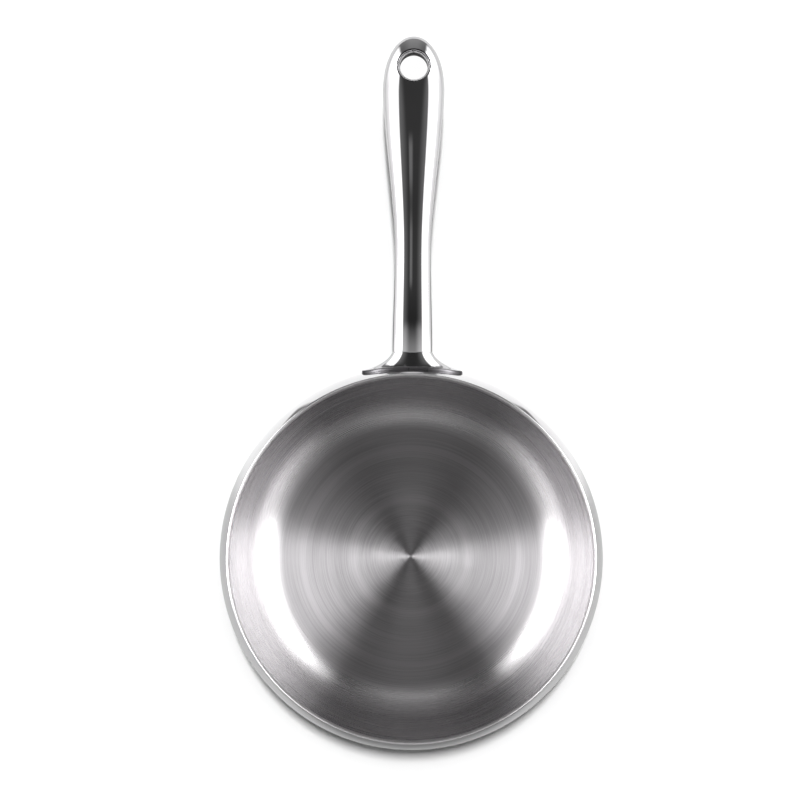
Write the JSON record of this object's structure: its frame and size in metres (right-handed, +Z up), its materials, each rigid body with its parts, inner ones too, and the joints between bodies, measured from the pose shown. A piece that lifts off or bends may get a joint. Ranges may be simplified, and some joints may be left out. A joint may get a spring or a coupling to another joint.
{
  "type": "saucepan",
  "caption": "Bellied stainless steel saucepan with a turned-out pouring lip, a flat capsule base and a long hollow handle that ends in a hanging eye.",
  "frame": {"origin": "centre of the flat underside of the base, on the pan's turning axis", "axes": "+Z up along the pan's axis to the mouth, +Y out along the handle, +X across"},
  "size_m": [0.1936, 0.36, 0.0952],
  "materials": {
    "satin_steel": "stainless steel, satin and circular-brushed inside, mirror-polished outside",
    "base_steel": "magnetic stainless steel, turned underside",
    "polished_steel": "mirror-polished stainless steel",
    "disc_aluminium": "plain rolled aluminium, closed in"
  },
  "bodies": {
    "root": {"pan_body": "satin_steel", "heat_disc": "disc_aluminium", "base_cap": "base_steel", "handle_flange": "polished_steel", "handle_upper_shell": "polished_steel", "handle_lower_shell": "polished_steel", "hanging_eye": "polished_steel"}
  },
  "joints": []
}
